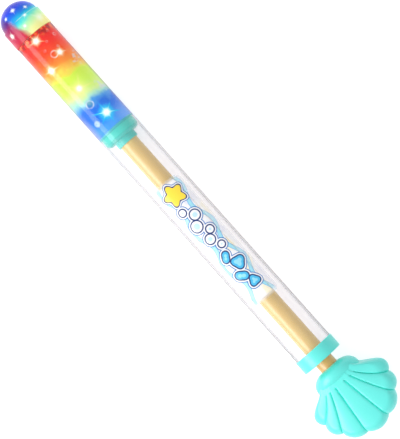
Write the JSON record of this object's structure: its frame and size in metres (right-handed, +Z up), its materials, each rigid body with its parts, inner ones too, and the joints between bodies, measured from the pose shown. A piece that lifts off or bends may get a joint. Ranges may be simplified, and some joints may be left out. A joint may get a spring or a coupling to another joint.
{
  "type": "water squirter",
  "caption": "Clear push-pull water squirter with a domed rainbow light-up front, a teal piston on a gold rod, an end cap and a scallop-shell handle.",
  "frame": {"origin": "centre of the object's outline, on the plane that it lies on", "axes": "+X runs along the tube from the nose to the handle, +Z points up from the shell's broad face, +Y lies across"},
  "size_m": [0.4659, 0.078, 0.0377],
  "materials": {
    "clear_plastic": "gloss",
    "nose_tint": "gloss, tinted in blended rainbow colours",
    "rainbow_sleeve": "translucent, tinted in blended rainbow bands",
    "white_plastic": "satin",
    "red_rubber": "matte",
    "steel": "satin",
    "board_green": "satin",
    "black_resin": "satin",
    "lamp": "glowing white",
    "lead": "enamelled wire",
    "teal_plastic": "satin",
    "teal_rubber": "matte",
    "gold_plastic": "satin",
    "print_film": "clear film with a printed pattern"
  },
  "bodies": {
    "barrel": {"barrel_tube": "clear_plastic", "nose_dome": "nose_tint", "nozzle_tube": "white_plastic", "nose_plug": "white_plastic", "chamber_gasket": "red_rubber", "water_liner": "clear_plastic", "light_sleeve": "rainbow_sleeve", "chamber_ring": "clear_plastic", "light_case": "white_plastic", "front_contact": "steel", "rear_contact": "steel", "button_cell_1": "steel", "button_cell_2": "steel", "button_cell_3": "steel", "driver_board": "board_green", "driver_chip": "black_resin", "shake_switch": "steel", "nose_lead": "lead", "chamber_lead": "lead", "nose_lamp_1": "lamp", "nose_lamp_2": "lamp", "nose_lamp_3": "lamp", "nose_lamp_4": "lamp", "nose_lamp_5": "lamp", "nose_lamp_6": "lamp", "nose_lamp_7": "lamp", "nose_lamp_8": "lamp", "nose_lamp_9": "lamp", "chamber_lamp_1": "lamp", "chamber_lamp_2": "lamp", "chamber_lamp_3": "lamp", "chamber_lamp_4": "lamp", "chamber_lamp_5": "lamp", "chamber_lamp_6": "lamp", "chamber_lamp_7": "lamp", "chamber_lamp_8": "lamp", "printed_film": "print_film", "end_cap": "teal_plastic", "rod_bush": "white_plastic"},
    "seal": {"piston_seal": "teal_rubber"},
    "plunger": {"piston_hub": "teal_plastic", "piston_washer": "steel", "piston_screw": "steel", "plunger_rod": "gold_plastic", "rod_front_plug": "white_plastic", "rod_rear_plug": "white_plastic", "handle_pin": "steel", "handle_shell_front": "teal_plastic", "handle_shell_back": "teal_plastic", "handle_screw_1": "steel", "handle_screw_2": "steel", "handle_screw_3": "steel"}
  },
  "joints": [
    {"name": "plunger_slide", "type": "slide", "parent": "barrel", "child": "seal", "axis": [1, 0, 0], "range_m": [0, 0.229]},
    {"name": "plunger_turn", "type": "hinge", "parent": "seal", "child": "plunger", "pos_m": [0, 0, 0.01884], "axis": [1, 0, 0], "continuous": true}
  ]
}
